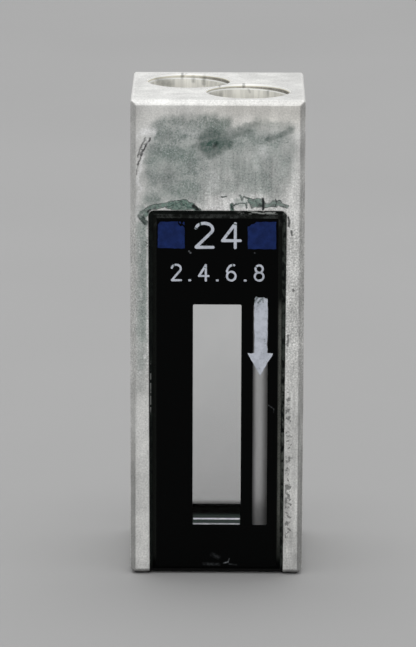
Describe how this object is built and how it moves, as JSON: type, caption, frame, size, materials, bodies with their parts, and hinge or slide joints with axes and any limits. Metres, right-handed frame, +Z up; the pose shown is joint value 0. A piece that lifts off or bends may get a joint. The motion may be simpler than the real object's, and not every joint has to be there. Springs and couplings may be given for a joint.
{
  "type": "cuvette",
  "caption": "Flow-through cuvette: a metal housing with threaded ports holds a black-masked clear silica cell.",
  "frame": {"origin": "centre of the base, on the plane the housing's feet stand on", "axes": "+Z up along the height, -Y out of the front face with the measuring window, +X to the right seen from the front"},
  "size_m": [0.0126, 0.0126, 0.035],
  "materials": {
    "satin_metal": "satin",
    "black_silica": "polished",
    "clear_silica": "polished",
    "black_adhesive": "matte"
  },
  "bodies": {
    "root": {"housing": "satin_metal", "front_mask": "black_silica", "front_window": "clear_silica", "chamber_spacer": "black_silica", "rear_window": "clear_silica", "rear_mask": "black_silica", "adhesive": "black_adhesive"}
  },
  "joints": []
}
